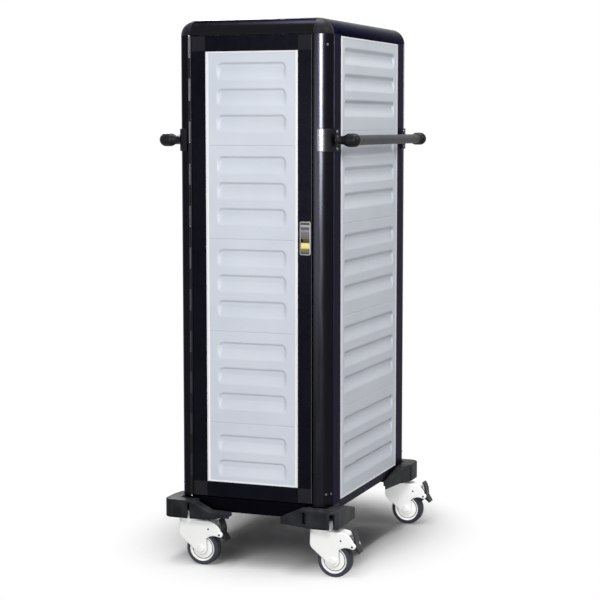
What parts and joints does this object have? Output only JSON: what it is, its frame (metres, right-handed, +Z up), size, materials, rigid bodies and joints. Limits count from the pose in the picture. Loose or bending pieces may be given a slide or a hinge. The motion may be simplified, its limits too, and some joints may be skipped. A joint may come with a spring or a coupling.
{
  "type": "heated food trolley",
  "caption": "Tall heated catering trolley with a hinged ribbed door, rounded black frame, side push handles, corner bumpers and braked swivel castors.",
  "frame": {"origin": "on the floor under the middle of the cabinet", "axes": "+Z up, +X to the right seen from the door side, door facing -Y"},
  "size_m": [0.6325, 0.819, 1.578],
  "materials": {
    "frame_black": "black anodised, satin",
    "corner_plastic": "dark grey moulded plastic",
    "panel_grey": "light cool grey, fine grain",
    "bumper_black": "black moulded, matt",
    "inner_steel": "brushed stainless",
    "service_grey": "dark grey coated",
    "hardware_steel": "plated",
    "hinge_dark": "black anodised",
    "latch_silver": "satin nickel",
    "latch_yellow": "yellow moulded",
    "handle_black": "black moulded",
    "grip_grey": "dark grey, fine texture",
    "seal_rubber": "black, matt",
    "motor_metal": "bare",
    "heater_metal": "heat tinted tube",
    "control_black": "black moulded",
    "castor_white": "off-white moulded",
    "tyre_grey": "dark grey blue",
    "pedal_black": "black moulded"
  },
  "bodies": {
    "cabinet": {"corner_posts": "frame_black", "top_rails": "frame_black", "base_beams": "frame_black", "top_corner_caps": "corner_plastic", "left_wall_panels": "panel_grey", "right_wall_panels": "panel_grey", "rear_wall_panels": "panel_grey", "top_panel": "panel_grey", "corner_bumpers": "bumper_black", "inner_wall_liners": "inner_steel", "tray_runners": "inner_steel", "rear_air_baffle": "inner_steel", "floor_pan": "inner_steel", "door_seat_frame": "inner_steel", "service_panel": "service_grey", "post_screws": "hardware_steel", "castor_stems": "hardware_steel", "latch_strike": "hardware_steel", "hinge_pin": "hardware_steel", "hinge_frame_leaf": "hinge_dark", "handle_elbows": "handle_black", "handle_brackets": "handle_black", "handle_grips": "grip_grey", "fan_motor": "motor_metal", "heating_elements": "heater_metal", "power_inlet": "control_black", "control_bezels": "control_black"},
    "door": {"door_frame_profiles": "frame_black", "door_corner_pieces": "corner_plastic", "door_panels": "panel_grey", "door_inner_skin": "inner_steel", "door_seal": "seal_rubber", "hinge_door_leaf": "hinge_dark", "latch_housing": "latch_silver"},
    "latch_pull": {"latch_pull": "latch_silver"},
    "latch_slide": {"latch_lock_slide": "latch_yellow"},
    "latch_bolt": {"latch_bolt": "hardware_steel"},
    "fan": {"fan_impeller": "motor_metal"},
    "switch_rocker": {"switch_rocker": "control_black"},
    "thermostat_knob": {"thermostat_knob": "control_black"},
    "castor_front_left": {"castor_fork_front_left": "castor_white", "castor_pins_front_left": "hardware_steel"},
    "wheel_front_left": {"castor_wheel_front_left": "castor_white", "castor_tyre_front_left": "tyre_grey"},
    "pedal_front_left": {"castor_brake_pedal_front_left": "pedal_black"},
    "castor_front_right": {"castor_fork_front_right": "castor_white", "castor_pins_front_right": "hardware_steel"},
    "wheel_front_right": {"castor_wheel_front_right": "castor_white", "castor_tyre_front_right": "tyre_grey"},
    "pedal_front_right": {"castor_brake_pedal_front_right": "pedal_black"},
    "castor_rear_left": {"castor_fork_rear_left": "castor_white", "castor_pins_rear_left": "hardware_steel"},
    "wheel_rear_left": {"castor_wheel_rear_left": "castor_white", "castor_tyre_rear_left": "tyre_grey"},
    "pedal_rear_left": {"castor_brake_pedal_rear_left": "pedal_black"},
    "castor_rear_right": {"castor_fork_rear_right": "castor_white", "castor_pins_rear_right": "hardware_steel"},
    "wheel_rear_right": {"castor_wheel_rear_right": "castor_white", "castor_tyre_rear_right": "tyre_grey"},
    "pedal_rear_right": {"castor_brake_pedal_rear_right": "pedal_black"}
  },
  "joints": [
    {"name": "door_hinge", "type": "hinge", "parent": "cabinet", "child": "door", "pos_m": [-0.1885, -0.377, 0.87], "axis": [0, 0, -1], "range_deg": [0, 180]},
    {"name": "latch_pull_pivot", "type": "hinge", "parent": "door", "child": "latch_pull", "pos_m": [0.1635, -0.375, 1.0017], "axis": [-1, 0, 0], "range_deg": [0, 40], "stiffness_Nm_per_rad": 0.05},
    {"name": "latch_slide_travel", "type": "slide", "parent": "door", "child": "latch_slide", "axis": [0, 0, 1], "range_m": [0, 0.01]},
    {"name": "latch_bolt_throw", "type": "slide", "parent": "door", "child": "latch_bolt", "axis": [1, 0, 0], "range_m": [0, 0.012]},
    {"name": "fan_spin", "type": "hinge", "parent": "cabinet", "child": "fan", "pos_m": [0, 0.28, 0.56], "axis": [0, 1, 0], "continuous": true},
    {"name": "switch_rock", "type": "hinge", "parent": "cabinet", "child": "switch_rocker", "pos_m": [0, 0.372, 0.3], "axis": [-1, 0, 0], "range_deg": [0, 20]},
    {"name": "thermostat_turn", "type": "hinge", "parent": "cabinet", "child": "thermostat_knob", "pos_m": [0.09, 0.372, 0.3], "axis": [0, 1, 0], "range_deg": [0, 270]},
    {"name": "castor_swivel_front_left", "type": "hinge", "parent": "cabinet", "child": "castor_front_left", "pos_m": [-0.204, -0.353, 0.14], "axis": [0, 0, 1], "continuous": true},
    {"name": "wheel_spin_front_left", "type": "hinge", "parent": "castor_front_left", "child": "wheel_front_left", "pos_m": [-0.161, -0.353, 0.05], "axis": [0, 1, 0], "continuous": true},
    {"name": "brake_pedal_front_left", "type": "hinge", "parent": "castor_front_left", "child": "pedal_front_left", "pos_m": [-0.104, -0.353, 0.095], "axis": [0, 1, 0], "range_deg": [0, 18]},
    {"name": "castor_swivel_front_right", "type": "hinge", "parent": "cabinet", "child": "castor_front_right", "pos_m": [0.204, -0.353, 0.14], "axis": [0, 0, 1], "continuous": true},
    {"name": "wheel_spin_front_right", "type": "hinge", "parent": "castor_front_right", "child": "wheel_front_right", "pos_m": [0.247, -0.353, 0.05], "axis": [0, 1, 0], "continuous": true},
    {"name": "brake_pedal_front_right", "type": "hinge", "parent": "castor_front_right", "child": "pedal_front_right", "pos_m": [0.304, -0.353, 0.095], "axis": [0, 1, 0], "range_deg": [0, 18]},
    {"name": "castor_swivel_rear_left", "type": "hinge", "parent": "cabinet", "child": "castor_rear_left", "pos_m": [-0.204, 0.353, 0.14], "axis": [0, 0, 1], "continuous": true},
    {"name": "wheel_spin_rear_left", "type": "hinge", "parent": "castor_rear_left", "child": "wheel_rear_left", "pos_m": [-0.161, 0.353, 0.05], "axis": [0, 1, 0], "continuous": true},
    {"name": "brake_pedal_rear_left", "type": "hinge", "parent": "castor_rear_left", "child": "pedal_rear_left", "pos_m": [-0.104, 0.353, 0.095], "axis": [0, 1, 0], "range_deg": [0, 18]},
    {"name": "castor_swivel_rear_right", "type": "hinge", "parent": "cabinet", "child": "castor_rear_right", "pos_m": [0.204, 0.353, 0.14], "axis": [0, 0, 1], "continuous": true},
    {"name": "wheel_spin_rear_right", "type": "hinge", "parent": "castor_rear_right", "child": "wheel_rear_right", "pos_m": [0.247, 0.353, 0.05], "axis": [0, 1, 0], "continuous": true},
    {"name": "brake_pedal_rear_right", "type": "hinge", "parent": "castor_rear_right", "child": "pedal_rear_right", "pos_m": [0.304, 0.353, 0.095], "axis": [0, 1, 0], "range_deg": [0, 18]}
  ],
  "couplings": [
    {"joint": "latch_bolt_throw", "follows": "latch_slide_travel", "ratio": 1.2}
  ]
}
